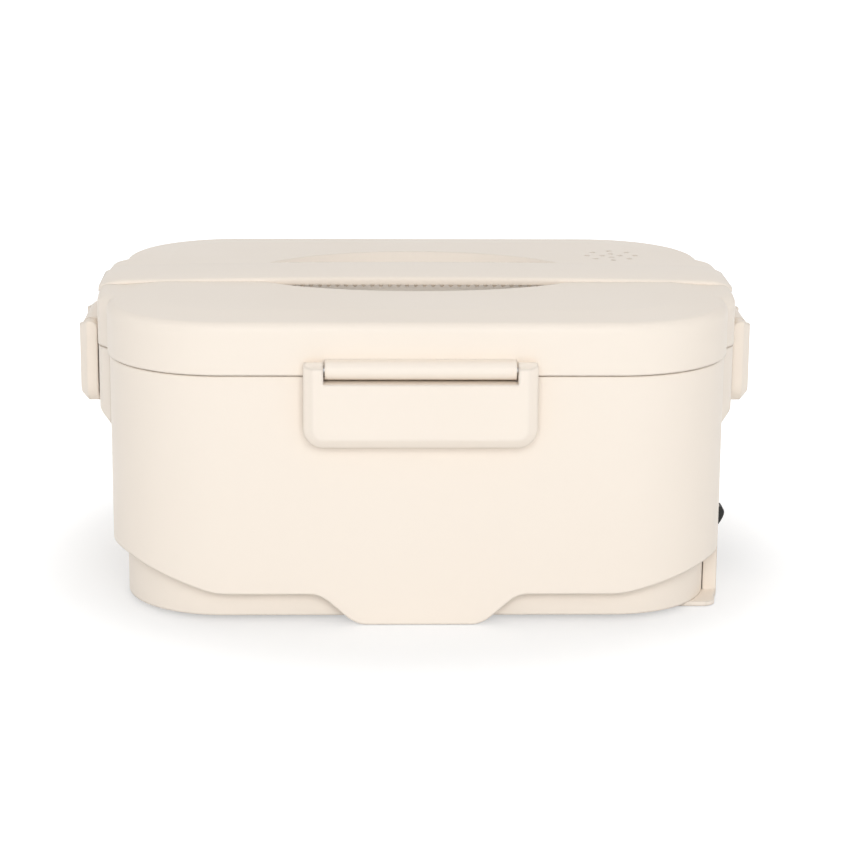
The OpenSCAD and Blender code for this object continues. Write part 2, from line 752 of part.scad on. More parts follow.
module element_clamps() color(steel)
  for (sx = [-1, 1]) difference() {
    across_x(sx * clamp_x - clamp_half_w, sx * clamp_x + clamp_half_w) {
      in = ptc_y + ptc_w / 2 + clamp_fit;
      translate([-in - clamp_t, ptc_z - clamp_t]) square([2 * (in + clamp_t), clamp_t]);
      for (s = [-1, 1]) {
        translate([s * (in + clamp_t / 2) - clamp_t / 2, ptc_z - clamp_t]) square([clamp_t, ptc_t + clamp_t]);
        translate([s > 0 ? in : -clamp_y - clamp_foot_l, plate_z - clamp_t])
          square([clamp_y + clamp_foot_l - in, clamp_t]);
      }
    }
    for (sy = [-1, 1]) translate([sx * clamp_x, sy * clamp_y, plate_z - clamp_t - over])
      cylinder(r = clamp_screw_r + run_gap, h = clamp_t + 2 * over);
  }

module clamp_screws() color(steel)
  for (sx = [-1, 1], sy = [-1, 1]) translate([sx * clamp_x, sy * clamp_y, plate_z - clamp_t])
    screw(clamp_screw_r, clamp_screw_l, clamp_head_r, clamp_head_h);

module thermostat() color(black) {
  translate([sensor_x, sensor_y, plate_z - thermostat_h]) cylinder(r = thermostat_r, h = thermostat_h);
  for (s = [-1, 1]) translate([sensor_x + s * thermostat_r / 2, sensor_y, plate_z - thermostat_h - lug_l])
    translate([-lug_w / 2, -clip_t / 2, 0]) cube([lug_w, clip_t, lug_l + eps]);
}

module thermal_fuse() color([0.93, 0.9, 0.82])
  translate([sensor_x, -sensor_y, plate_z - fuse_r]) rotate([0, 90, 0]) {
    cylinder(r = fuse_r, h = fuse_l, center = true);
    cylinder(r = fuse_lead_r, h = fuse_l + 2 * fuse_lead_l, center = true);
  }

module fuse_clip() color(steel) difference() {
  in = fuse_r + run_gap;
  across_x(sensor_x - clip_half_w, sensor_x + clip_half_w) translate([-sensor_y, plate_z]) difference() {
    union() {
      translate([-in - clip_t, -2 * in - clip_t]) square([2 * (in + clip_t), 2 * in + clip_t]);
      translate([in, -clip_t]) square([3 * clip_half_w, clip_t]);
    }
    translate([-in, -2 * in]) square([2 * in, 2 * in + over]);
  }
}

// A wire laid through a list of points, as one tube
module wire(points, r, n = 8) {
  last = len(points) - 1;
  function unit(v) = v / norm(v);
  function heading(i) = unit(points[min(i + 1, last)] - points[max(i - 1, 0)]);
  rings = [for (i = [0 : last]) let (
      t = heading(i), a = unit(cross(t, abs(t[2]) > 0.9 ? [1, 0, 0] : [0, 0, 1])), b = cross(t, a))
    for (k = [0 : n - 1]) points[i] + r * (a * cos(k * 360 / n) + b * sin(k * 360 / n))];
  sides = [for (i = [0 : last - 1], k = [0 : n - 1]) let (m = (k + 1) % n)
    [i * n + k, (i + 1) * n + k, (i + 1) * n + m, i * n + m]];
  polyhedron(rings, concat([[for (k = [0 : n - 1]) k]], sides, [[for (k = [n - 1 : -1 : 0]) last * n + k]]));
}

// Where a wire meets the thermostat, with s = 1, or the fuse, with s = -1
function device(s, end) = s > 0
  ? [sensor_x + end * thermostat_r / 2, sensor_y, plate_z - thermostat_h - lug_l - wire_r]
  : [sensor_x + end * (fuse_l / 2 + fuse_lead_l + wire_r), -sensor_y, plate_z - fuse_r];

// Both wires leave the socket's pins, pass the thermostat or the fuse, and end on the elements
module internal_wiring() color([0.75, 0.12, 0.1]) {
  tail_x = wall_x - socket_d - pin_tail;
  low = base_cover_top + mat_t + 4;
  tail_y = socket_pin_gap / 2;
  ptc_mid_z = ptc_z + ptc_t / 2;
  for (s = [-1, 1]) {
    wire([[tail_x, s * tail_y, socket_z], [tail_x - 4, s * tail_y, socket_z],
      [tail_x - 8, s * (tail_y + 3), low + 1], [sensor_x + 13, s * (sensor_y - 6), low],
      [sensor_x + 11, s * sensor_y, low + 1], device(s, 1)], wire_r);
    wire([device(s, -1), [sensor_x - 15, s * (sensor_y - 2), low + 2], [ptc_l / 2 + 4, s * ptc_y, low + 3],
      [ptc_l / 2 + 1, s * ptc_y, ptc_mid_z], [ptc_l / 2 + seat_gap, s * ptc_y, ptc_mid_z]], wire_r);
  }
}

module insulating_mat() color([0.86, 0.84, 0.78])
  translate([0, 0, base_cover_top]) linear_extrude(mat_t)
    rounded_rect(plate_l - 2 * mat_in_x, plate_w - 2 * mat_in_y, mat_r);

module power_socket() color(black) difference() {
  union() {
    translate([wall_x - socket_d, -socket_w / 2, socket_z - socket_h / 2])
      cube([socket_d, socket_w, socket_h]);
    // retaining flange behind the shell's wall
    translate([wall_x - body_wall - flange_t - screw_gap, -socket_w / 2 - flange_out,
        socket_z - socket_h / 2 - flange_up])
      cube([flange_t, socket_w + 2 * flange_out, socket_h + 2 * flange_up]);
  }
  translate([wall_x - socket_d + socket_back_t, -socket_w / 2 + socket_wall,
      socket_z - socket_h / 2 + socket_wall])
    cube([socket_d, socket_w - 2 * socket_wall, socket_h - 2 * socket_wall]);
  for (s = [-1, 1]) translate([wall_x - socket_d - over, s * socket_pin_gap / 2, socket_z]) rotate([0, 90, 0])
    cylinder(r = socket_pin_r + screw_gap, h = socket_d);
}

module socket_pins() color([0.85, 0.7, 0.35])
  for (s = [-1, 1]) translate([wall_x - socket_d - pin_tail, s * socket_pin_gap / 2, socket_z])
    rotate([0, 90, 0]) cylinder(r = socket_pin_r, h = socket_d - 1);

module indicator_lens() color([0.85, 0.25, 0.2])
  translate([wall_x - body_wall - lens_flange_t, lens_y, socket_z]) rotate([0, 90, 0]) {
    cylinder(r = lens_r, h = body_wall + lens_flange_t + lens_proud);
    cylinder(r = lens_r + lens_flange_w, h = lens_flange_t - screw_gap);
  }

// The board stands behind the lens, with its lamp in between
module indicator_board() color([0.12, 0.4, 0.22]) {
  translate([board_x, lens_y - board_w / 2, socket_z - board_h / 2]) cube([board_t, board_w, board_h]);
  translate([board_x + board_t - eps, lens_y, socket_z]) rotate([0, 90, 0])
    cylinder(r = lamp_r, h = lamp_gap - seat_gap);
}

module base_cover() color(cream) difference() {
  union() {
    ring(base_out, base_out + base_t, foot_h, base_top_z);
    slab(base_out, foot_h, base_cover_top);
    for (p = screw_places) translate([p[0], p[1], foot_h])
      cylinder(r = screw_head_r + base_boss_wall, h = boss_foot_z - foot_h - base_seat_gap);
    // post that the indicator's board is glued to
    translate([board_x - post_t - screw_gap, lens_y - board_w / 2, foot_h])
      cube([post_t, board_w, socket_z + board_h / 2 - foot_h]);
  }
  for (p = screw_places) translate([p[0], p[1], 0]) {
    cylinder(r = screw_head_r + pass_gap, h = foot_h + well_h);
    cylinder(r = screw_r + pass_gap, h = boss_foot_z + over);
  }
  for (sx = [-1, 1], sy = [-1, 1]) translate([sx * foot_x, sy * foot_y, 0])
    cylinder(r = foot_r - foot_stem_in + screw_gap, h = base_cover_top + over);
  // windows for the socket and the indicator
  socket_half = socket_w / 2 + flange_out + window_gap;
  translate([wall_x - base_inset - base_t - window_gap, -socket_half,
      socket_z - socket_h / 2 - flange_up - window_gap])
    cube([base_t + 2 * window_gap, 2 * socket_half, 2 * socket_h]);
  translate([board_x - screw_gap, lens_y - board_w / 2 - over, socket_z - board_h / 2 - over])
    cube([base_inset + base_t, board_w + 2 * over, 2 * board_h]);
}

module base_screws() color(steel)
  for (p = screw_places) translate([p[0], p[1], foot_h + well_h])
    screw(screw_r, base_screw_l, screw_head_r, base_head_h);

module rubber_feet() color(black)
  for (sx = [-1, 1], sy = [-1, 1]) translate([sx * foot_x, sy * foot_y, 0]) {
    cylinder(r = foot_r, h = foot_h);
    cylinder(r = foot_r - foot_stem_in, h = base_cover_top + foot_lock_w);
    translate([0, 0, base_cover_top]) cylinder(r = foot_r - foot_stem_in + foot_lock_w, h = foot_lock_w);
  }

// Cover seen from its end: a flat flap that hangs from its bead, or the tab that swells from it
module cover_profile(swell) {
  back = wall_x + slide_gap;
  top = cover_axis[2] - cover_bead_r;
  front = cover_axis[0] + cover_bead_r;
  polygon(concat(
    [[back, cover_axis[2] - cover_h], [back, cover_axis[2]], [front, cover_axis[2]], [front, top]],
    [for (p = swell) [back + p[0], top - (cover_h - cover_bead_r) * p[1]]]));
}

module socket_cover() color(black) {
  // the tab swells quickly to its peak, falls away to its toe and is flat below that
  tab = [for (t = [0, 0.02, 0.05, 0.09, 0.13, 0.18, 0.24, 0.3, 0.38, 0.46, 0.54, 0.62, 1])
    let (f = t < tab_peak ? tab_head + (1 - tab_head) * sqrt(1 - pow(1 - t / tab_peak, 2))
      : t < tab_toe ? 1 - pow((t - tab_peak) / (tab_toe - tab_peak), 1.6) : 0)
        [tab_tip_t + (tab_t - tab_tip_t) * f, t]];
  intersection() {
    union() {
      across_y(-cover_w / 2, cover_w / 2) cover_profile([[cover_t, 0], [cover_t, 1]]);
      across_y(-cover_w / 2, -cover_w / 2 + tab_w) cover_profile(tab);
    }
    // rounded corners
    across_x(wall_x, wall_x + 20)
      translate([0, cover_axis[2] - cover_h / 2]) rounded_rect(cover_w, cover_h, 2);
  }
  translate(cover_axis) rotate([90, 0, 0]) {
    cylinder(r = cover_bead_r, h = cover_w - 2 * cover_side, center = true);
    cylinder(r = stub_r, h = cover_w + 2 * (slide_gap + cover_lug_w), center = true);
  }
}

// ---- container and tray ----

module food_container() color(steel) {
  ring(rim_in + 2.5, step_in, liner_rim_z, pot_rim_z);
  ring(pot_in, step_in, step_z, liner_rim_z + eps);
  ring(pot_in, step_in + tray_step_w, step_z, step_z + steel_t);
  ring(pot_low_in, step_in + tray_step_w, pot_z, step_z + eps);
  slab(pot_low_in, pot_z, pot_z + steel_t);
}

// Left-hand part of the container's mouth, moved in by d
module tray_plan(d, r) {
  mouth = lid_length - 2 * step_in;
  intersection() {
    outline(step_in + d);
    translate([-mouth * (1 - tray_share) / 2 - r - d, 0])
      rounded_rect(mouth * tray_share + 2 * r, lid_depth, r);
  }
}

module side_dish_tray() color([0.92, 0.93, 0.94]) {
  rim = step_z + steel_t;
  side = tray_step_w + slide_gap;
  difference() {
    union() {
      translate([0, 0, rim]) linear_extrude(tray_wall) tray_plan(slide_gap, tray_corner_r);
      translate([0, 0, rim - tray_depth]) linear_extrude(tray_depth + eps) tray_plan(side, tray_corner_r);
    }
    translate([0, 0, rim - tray_depth + tray_wall])
      linear_extrude(tray_depth + over) tray_plan(side + tray_wall, tray_corner_r - over);
  }
}

// ---- lid ----

module recess(grow) {
  low = lid_top_z - recess_depth - grow * 0.9;
  half_z = (lid_top_z + low) / 2;
  module layer(z, in) {
    translate([0, 0, z]) linear_extrude(0.02)
      polygon(oval(recess_half_l - in + grow, recess_front - in + grow, recess_rear - in + grow));
  }
  hull() {
    layer(grow > 0 ? roof_z : lid_top_z + 1, 0);
    layer(half_z, recess_lean);
    layer(low + 2, recess_toe * 0.6);
    layer(low, recess_toe);
  }
}

// Side view of the handle from end to end, thickened below by drop
module handle_side(drop = 0) {
  xs = [for (t = [-1 : 0.04 : 1]) t * handle_bend_x];
  top = concat(
    [for (x = xs) [x, handle_top_z - handle_arch * pow(x / handle_bend_x, 2)]],
    [for (t = [0.25 : 0.25 : 1]) [handle_bend_x + t * handle_end_l,
      handle_top_z - handle_arch - handle_end_drop * t * t]]);
  ends = [for (t = [1 : -0.25 : 0.25]) [-handle_bend_x - t * handle_end_l,
    handle_top_z - handle_arch - handle_end_drop * t * t]];
  low = handle_end_seat_z - drop;
  seat = handle_seat_z - drop;
  turn = handle_bend_x - 1;
  polygon(concat(ends, top, [[block_end, low], [turn + 2.6, low], [turn, seat], [-turn, seat],
    [-turn - 2.6, low], [-block_end, low]]));
}

module lid_shell() color(cream) {
  edge_z = lid_top_z - band_drop - lid_edge_r;
  outer = concat([[0, lid_edge_z]],
    [for (a = [0 : 15 : 75]) [lid_edge_r * (1 - cos(a)), edge_z + lid_edge_r * sin(a)]],
    [[lid_edge_r + band_w, lid_top_z]]);
  difference() {
    union() {
      difference() {
        union() {
          rim_block(0, outer);
          both_ends() hull() {
            translate([0, 0, lid_edge_z]) linear_extrude(block_top_z - lid_edge_z - lid_edge_r) block_plan();
            for (a = [15 : 15 : 90]) translate([0, 0, block_top_z - lid_edge_r * (1 - sin(a)) - eps])
              linear_extrude(eps) block_plan(lid_edge_r * (1 - cos(a)));
          }
        }
        rim_block(lid_wall, [[0, lid_edge_z - 1], [0, roof_z - 3], [3, roof_z]]);
        // the end blocks are hollow from inside
        both_ends() translate([0, 0, lid_edge_z + lid_wall])
          linear_extrude(block_top_z - lid_edge_z - lid_wall - lid_edge_r - 1.4) block_plan(lid_wall + 0.2);
      }
      // thicker roof under the handle
      translate([-handle_bend_x + pad_in, -handle_w / 2 - pad_side, roof_z - roof_pad])
        cube([2 * (handle_bend_x - pad_in), handle_w + 2 * pad_side, roof_pad + eps]);
      recess(recess_wall);
      // bead that the inner panel snaps over
      for (s = [-1, 1])
        translate([0, s * (lid_depth / 2 - lid_wall - snap_w / 2 + snap_root), panel_z - snap_h / 2])
        cube([lid_length - 2 * snap_in, snap_w, snap_h], center = true);
      for (side = SIDES) barrel(side);
    }
    recess(0);
    across_y(-handle_w / 2 - handle_gap, handle_w / 2 + handle_gap) handle_side();
    for (s = [-1, 1], x = handle_screw_x) translate([s * x, 0, roof_z - 2 * roof_pad])
      cylinder(r = handle_boss_r + handle_gap, h = lid_roof + 2 * roof_pad);
    for (i = [0 : len(vent_ring_r) - 1], k = [0 : vent_ring_n[i] - 1])
      translate([vent_x + vent_ring_r[i] * sin(k * 360 / vent_ring_n[i]),
          vent_y + vent_ring_r[i] * cos(k * 360 / vent_ring_n[i]), roof_z - over])
        cylinder(r = vent_hole_r, h = lid_roof + 2 * over);
  }
}

module lid_inner_panel() color([0.93, 0.92, 0.9]) difference() {
  slab(rim_in, panel_z, panel_z + panel_t);
  ring(seal_in - seal_w / 2, seal_in + seal_w / 2, panel_z - over, panel_z + seal_key_h);
  translate([vent_x, vent_y, panel_z - over]) cylinder(r = valve_r, h = panel_t + 2 * over);
}

module lid_gasket() color([0.88, 0.88, 0.86]) {
  ring(seal_in - seal_w / 2 - seal_lip, seal_in + seal_w / 2 + seal_lip, pot_rim_z + seat_gap, panel_z);
  ring(seal_in - seal_w / 2 + run_gap, seal_in + seal_w / 2 - run_gap, panel_z - eps,
    panel_z + seal_key_h - run_gap);
}

module steam_valve() color([0.85, 0.85, 0.84])
  translate([vent_x, vent_y, 0]) difference() {
    union() {
      translate([0, 0, panel_z - 0.9]) cylinder(r = valve_r + valve_flange_w, h = 0.9);
      translate([0, 0, panel_z - eps]) cylinder(r = valve_r - run_gap, h = panel_t + 2 * eps);
      translate([0, 0, panel_z + panel_t]) cylinder(r = valve_r + valve_lock_w, h = valve_lock_h);
    }
    translate([0, 0, panel_z - 2 * over]) cylinder(r = valve_bore_r, h = panel_t + valve_lock_h + 4 * over);
  }

module carry_handle() color(cream) difference() {
  union() {
    across_y(-handle_w / 2, handle_w / 2) handle_side();
    // grip ribs
    across_y(-handle_w / 2 + rib_set_back, handle_w / 2 - rib_set_back)
      for (i = [0 : floor(grip_half_l / rib_pitch)], s = [-1, 1])
        translate([s * i * rib_pitch, handle_seat_z]) {
        translate([0, -rib_drop]) circle(rib_r, $fn = 24);
        translate([-rib_r, -rib_drop]) square([2 * rib_r, rib_drop + eps]);
      }
    for (s = [-1, 1], x = handle_screw_x) translate([s * x, 0, handle_seat_z - handle_boss_h])
      cylinder(r = handle_boss_r, h = handle_boss_h + eps);
  }
  for (s = [-1, 1], x = handle_screw_x) translate([s * x, 0, handle_seat_z - handle_boss_h - over])
    cylinder(r = handle_screw_r + screw_gap, h = handle_screw_l + over - hole_spare);
}

module handle_screws() color(steel)
  for (s = [-1, 1], x = handle_screw_x) translate([s * x, 0, roof_z - roof_pad])
    screw(handle_screw_r, handle_screw_l, handle_head_r, handle_head_h);

module hinge_pin(side) {
  half = slot_half(side) + pin_hole_depth - 0.3;
  at_side(side) translate([-half, hinge_out, hinge_z]) rotate([0, 90, 0]) cylinder(r = pin_r, h = 2 * half);
}

module front_hinge_pin() color(steel) hinge_pin("front");
module rear_hinge_pin() color(steel) hinge_pin("rear");
module left_hinge_pin() color(steel) hinge_pin("left");
module right_hinge_pin() color(steel) hinge_pin("right");

// ---- latches ----

// Latch seen from its end, with the hinge axis at z = 0
module latch_profile(side) {
  front = latch_front(side);
  low = foot_z(side) - hinge_z;
  // the top slopes into the ears' round, to a point inside it
  inner = 0.9 * ear_r;
  lean = 50;
  difference() {
    union() {
      translate([hinge_out, 0]) circle(ear_r);
      polygon([[latch_back, low - over], [front + over, low - over], [front + over, 0],
        [front, brow_up], [hinge_out + inner * cos(lean), inner * sin(lean)], [latch_back, 0]]);
    }
    translate([latch_back - ear_r, -ear_r - over]) square([ear_r, 2 * (ear_r + over)]);
  }
}

// Latch seen from outside, from below its lower edge up to top
module latch_face(half, low, top, top_r) {
  for (s = [-1, 1]) translate([s * (half - top_r), top - top_r]) circle(top_r);
  translate([-half, low - over]) square([2 * half, top - top_r - low + over]);
  translate([-half + top_r, top - top_r]) square([2 * (half - top_r), top_r]);
}

// Block with bevelled sides and a bevelled, round-cornered lower edge
module latch_block(side, top) {
  r = latch_corner_r;
  half = latch_half(side);
  front = latch_front(side);
  flat_y = front - latch_bevel_t;
  low = foot_z(side);
  corner = half - r;
  bevel = r - latch_bevel_w;
  for (s = [-1, 1]) translate([s * corner, 0, low + r]) rotate([-90, 0, 0])
    rotate_extrude() polygon([[0, 0], [r, 0], [r, flat_y], [bevel, front], [0, front]]);
  across_x(-corner, corner)
    polygon([[0, low], [flat_y, low], [front, low + latch_bevel_w], [front, low + r], [0, low + r]]);
  translate([0, 0, low + r]) linear_extrude(top - low - r)
    polygon([[-half, 0], [half, 0], [half, flat_y], [corner + bevel, front],
      [-corner - bevel, front], [-half, flat_y]]);
}

module latch(side) {
  half = latch_half(side);
  slot = slot_half(side);
  front = latch_front(side);
  low = foot_z(side);
  top = hinge_z + ear_r;
  hollow_z0 = low + latch_wall;
  hollow_z1 = slot_z - latch_wall;
  at_side(side) {
    difference() {
      intersection() {
        translate([0, 0, hinge_z]) across_x(-half - over, half + over) latch_profile(side);
        across_y(-over, front + over)
          latch_face(half, low, top + face_rise, wide(side) ? latch_top_r : end_latch_top_r);
        latch_block(side, top + over);
      }
      // slot round the barrel, open at the top
      translate([-slot, -over, slot_z]) cube([2 * slot, front + 2 * over, top]);
      // hollow back
      across_y(0, front - latch_wall) translate([0, (hollow_z0 + hollow_z1) / 2])
        rounded_rect(2 * (half - latch_wall), hollow_z1 - hollow_z0, latch_corner_r - latch_wall);
      translate([-slot - pin_hole_depth, hinge_out, hinge_z]) rotate([0, 90, 0])
        cylinder(r = pin_r + run_gap, h = 2 * (slot + pin_hole_depth));
    }
    // hook behind the catch ridge
    translate([-slot + hook_side, ridge_out - hook_bite, low + latch_wall - eps])
      cube([2 * (slot - hook_side), front - latch_wall - ridge_out + hook_bite + eps,
        ridge_up - slide_gap - latch_wall]);
  }
}

module front_latch() color(cream) latch("front");
module rear_latch() color(cream) latch("rear");
module left_latch() color(cream) latch("left");
module right_latch() color(cream) latch("right");

outer_shell();
inner_liner();
plate_gasket();
heating_plate();
plate_screws();
heating_elements();
element_clamps();
clamp_screws();
thermostat();
thermal_fuse();
fuse_clip();
internal_wiring();
insulating_mat();
power_socket();
socket_pins();
indicator_lens();
indicator_board();
base_cover();
base_screws();
rubber_feet();
socket_cover();
food_container();
side_dish_tray();
lid_shell();
lid_inner_panel();
lid_gasket();
steam_valve();
carry_handle();
handle_screws();
front_hinge_pin();
rear_hinge_pin();
left_hinge_pin();
right_hinge_pin();
front_latch();
rear_latch();
left_latch();
right_latch();
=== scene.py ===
# %% [markdown]
# # An electric lunch box
# A cream plastic tub warms a steel food pan from below. Its lid lifts off, and four snap latches that
# hang from the lid hold it down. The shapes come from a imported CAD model, which is loaded as a fixed
# frame. This lesson gives every part its finish, models the pieces that need softer shapes than the
# CAD has, and sets up a plain studio. All sizes are in metres.

# %% Load the frame
import json
import math

import bpy
from mathutils import Matrix, Vector


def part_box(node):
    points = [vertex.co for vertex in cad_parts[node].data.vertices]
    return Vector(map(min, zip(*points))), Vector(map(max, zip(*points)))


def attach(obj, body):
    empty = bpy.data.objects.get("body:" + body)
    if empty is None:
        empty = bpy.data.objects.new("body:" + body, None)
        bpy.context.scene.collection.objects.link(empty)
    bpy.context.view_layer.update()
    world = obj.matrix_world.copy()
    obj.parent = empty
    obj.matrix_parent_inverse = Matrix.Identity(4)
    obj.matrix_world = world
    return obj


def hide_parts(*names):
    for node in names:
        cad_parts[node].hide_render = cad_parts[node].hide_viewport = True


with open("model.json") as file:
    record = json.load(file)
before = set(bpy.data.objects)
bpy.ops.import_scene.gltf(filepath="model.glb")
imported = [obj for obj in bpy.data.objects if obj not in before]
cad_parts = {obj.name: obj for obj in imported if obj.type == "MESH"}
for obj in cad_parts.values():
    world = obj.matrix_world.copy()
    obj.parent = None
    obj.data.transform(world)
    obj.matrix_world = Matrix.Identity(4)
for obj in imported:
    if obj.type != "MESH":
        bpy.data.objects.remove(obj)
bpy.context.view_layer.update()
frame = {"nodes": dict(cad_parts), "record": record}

# %% [markdown]
# ## Camera
# A long lens seen from a little above the table shows the front face almost square on and the lid as
# a narrow band. A short lens close by would make the ends lean away. The camera looks at a point about
# half way up the box, on the box's middle line.

# %% Place the camera
LOOK_AT = Vector((0, 0, 0.05225))
DISTANCE = 0.930
ELEVATION = math.radians(14.23)
YAW = math.radians(-1.41)
ROLL = math.radians(0.35)
LENS_MM, SENSOR_MM = 110.4, 36
SHIFT_X, SHIFT_Y = 0.0091, -0.0056
NEAREST = 0.05

level = math.cos(ELEVATION)
toward = Vector((math.sin(YAW) * level, -math.cos(YAW) * level, math.sin(ELEVATION)))
lens = bpy.data.cameras.new("studio_camera")
lens.lens = LENS_MM
lens.sensor_width = SENSOR_MM
lens.shift_x = SHIFT_X
lens.shift_y = SHIFT_Y
lens.clip_start = NEAREST
camera = bpy.data.objects.new("studio_camera", lens)
bpy.context.scene.collection.objects.link(camera)
aimed = (-toward).to_track_quat("-Z", "Y").to_matrix() @ Matrix.Rotation(ROLL, 3, "Z")
camera.matrix_world = Matrix.Translation(LOOK_AT + DISTANCE * toward) @ aimed.to_4x4()
bpy.context.scene.camera = camera
print("camera at", [round(v, 3) for v in camera.location])

# %% [markdown]
# ## Studio
# A soft lamp stands in front of the box, higher than the lid, so the front is the brightest side and
# the light falls off towards the ends. A weaker lamp behind lights the lid, and reflections leave it
# out. Two faint lamps stand at the ends. A picture of a studio could give the same light, but lamps
# with names and sizes are easier to move.

# %% Lamps
AIM = (0, 0, 0.05)
KEY_SIZE, SIDE_SIZE = (0.7, 0.4), (0.8, 0.6)
LAMPS = {
    "front_softbox": ((0.01, -1.08, 0.53), KEY_SIZE, 4.45),
    "rear_softbox": ((-0.01, 1.08, 0.53), KEY_SIZE, 1.0),
    "left_softbox": ((-0.95, -0.10, 0.30), SIDE_SIZE, 0.25),
    "right_softbox": ((0.95, -0.10, 0.30), SIDE_SIZE, 0.25),
}


def soft_light(name, place, size, power):
    lamp = bpy.data.lights.new(name, "AREA")
    lamp.shape = "RECTANGLE"
    lamp.size, lamp.size_y = size
    lamp.energy = power
    obj = bpy.data.objects.new(name, lamp)
    bpy.context.scene.collection.objects.link(obj)
    obj.location = place
    obj.rotation_euler = (Vector(AIM) - Vector(place)).to_track_quat("-Z", "Y").to_euler()
    return obj


for name, settings in LAMPS.items():
    soft_light(name, *settings)
bpy.data.objects["rear_softbox"].visible_glossy = False

# %% [markdown]
# ## White room
# Pale walls and a slightly brighter ceiling fill in what the lamps leave dark. Walls could be built
# round the box, but a background that changes with height does the same with nothing in the way. The
# Light Path node tells apart what is seen and what lights the box, so the camera, gloss and glass see
# plain white while the light from the room stays dimmer.

# %% Node helpers
def set_inputs(node, values):
    for label, value in values.items():
        node.inputs[label].default_value = value
    return node


def math_node(tree, operation, a, b):
    node = tree.nodes.new("ShaderNodeMath")
    node.operation = operation
    for socket, value in zip(node.inputs, (a, b)):
        if isinstance(value, (int, float)):
            socket.default_value = value
        else:
            tree.links.new(value, socket)
    return node.outputs[0]


def seen_directly(tree):
    """1 for what the camera, gloss and glass see, and 0 for the light that falls on things."""
    path = tree.nodes.new("ShaderNodeLightPath")
    value = path.outputs["Is Camera Ray"]
    for label in ("Is Glossy Ray", "Is Transmission Ray"):
        value = math_node(tree, "MAXIMUM", value, path.outputs[label])
    return value


print("helpers: set_inputs, math_node, seen_directly")

# %% World
WALLS, CEILING = 0.60, 0.63
CEILING_FROM = 0.8
world = bpy.data.worlds.new("white_studio")
bpy.context.scene.world = world
world.use_nodes = True
room = world.node_tree
room.nodes.clear()
height = room.nodes.new("ShaderNodeSeparateXYZ")
room.links.new(room.nodes.new("ShaderNodeTexCoord").outputs["Generated"], height.inputs[0])
fill = set_inputs(room.nodes.new("ShaderNodeMapRange"),
    {"From Min": 0.0, "From Max": CEILING_FROM, "To Min": WALLS, "To Max": CEILING})
room.links.new(height.outputs["Z"], fill.inputs["Value"])
strength = room.nodes.new("ShaderNodeMapRange")
room.links.new(seen_directly(room), strength.inputs["Value"])
room.links.new(fill.outputs[0], strength.inputs["To Min"])
sky = set_inputs(room.nodes.new("ShaderNodeBackground"), {"Color": (1, 1, 1, 1)})
room.links.new(strength.outputs[0], sky.inputs["Strength"])
room.links.new(sky.outputs[0], room.nodes.new("ShaderNodeOutputWorld").inputs[0])
print("walls", WALLS, "ceiling", CEILING)

# %% [markdown]
# ## Floor
# A sheet of white paper. A plain white sheet would look grey from so low down, so it is given two
# tones: a bright one for the light that it throws back at the box, and a darker one with a glow on top
# for the camera. Together they are white outside the shadow and pale grey within it. The glow is
# partial near the box, where the shadow falls, and almost full where the sheet meets the room.

# %% Paper sheet
FLOOR_SIZE = 6
SEEN, BOUNCED = 0.55, 0.9
GLOW_NEAR, GLOW_FAR = 0.46, 0.95
GLOW_STARTS, GLOW_ENDS = 0.10, 0.20
bpy.ops.object.select_all(action="DESELECT")
bpy.ops.mesh.primitive_plane_add(size=FLOOR_SIZE, location=(0, 0, 0))
floor = bpy.context.object
floor.name = "studio_floor"
paper = bpy.data.materials.new("floor_paper")
paper.use_nodes = True
tree = paper.node_tree
sheet = set_inputs(tree.nodes["Principled BSDF"],
    {"Roughness": 0.9, "Specular IOR Level": 0.1, "Emission Color": (1, 1, 1, 1)})
reach = tree.nodes.new("ShaderNodeVectorMath"); reach.operation = "LENGTH"
tree.links.new(tree.nodes.new("ShaderNodeTexCoord").outputs["Object"], reach.inputs[0])
glow = set_inputs(tree.nodes.new("ShaderNodeMapRange"),
    {"From Min": GLOW_STARTS, "From Max": GLOW_ENDS, "To Min": GLOW_NEAR, "To Max": GLOW_FAR})
glow.interpolation_type = "SMOOTHSTEP"
tree.links.new(reach.outputs["Value"], glow.inputs["Value"])
seen = seen_directly(tree)
tone = set_inputs(tree.nodes.new("ShaderNodeMapRange"), {"To Min": BOUNCED, "To Max": SEEN})
tree.links.new(seen, tone.inputs["Value"])
tree.links.new(tone.outputs[0], sheet.inputs["Base Color"])
tree.links.new(math_node(tree, "MULTIPLY", seen, glow.outputs[0]), sheet.inputs["Emission Strength"])
floor.data.materials.append(paper)
print("floor", tuple(round(v, 1) for v in floor.dimensions))

# %% [markdown]
# ## Shared effects
# Real mouldings never have knife edges, so a Bevel node rounds every edge for the light. Moulded
# plastic carries the fine grain of a spark-eroded mould, rubber a coarser one, and drawn metal has
# hair lines. Each effect is a node group with its own inputs, which every material sets for itself.

# %% Node group helpers
def new_group(name, inputs, outputs):
    tree = bpy.data.node_groups.new(name, "ShaderNodeTree")
    for label, kind, value in inputs:
        tree.interface.new_socket(label, in_out="INPUT", socket_type=kind).default_value = value
    for label in outputs:
        tree.interface.new_socket(label, in_out="OUTPUT", socket_type="NodeSocketFloat")
    return tree, tree.nodes.new("NodeGroupInput"), tree.nodes.new("NodeGroupOutput")


def noise_node(tree, vector, scale, detail, roughness):
    node = set_inputs(tree.nodes.new("ShaderNodeTexNoise"), {"Detail": detail, "Roughness": roughness})
    tree.links.new(vector, node.inputs["Vector"])
    if isinstance(scale, (int, float)):
        node.inputs["Scale"].default_value = scale
    else:
        tree.links.new(scale, node.inputs["Scale"])
    return node.outputs["Fac"]


print("helpers: new_group, noise_node")

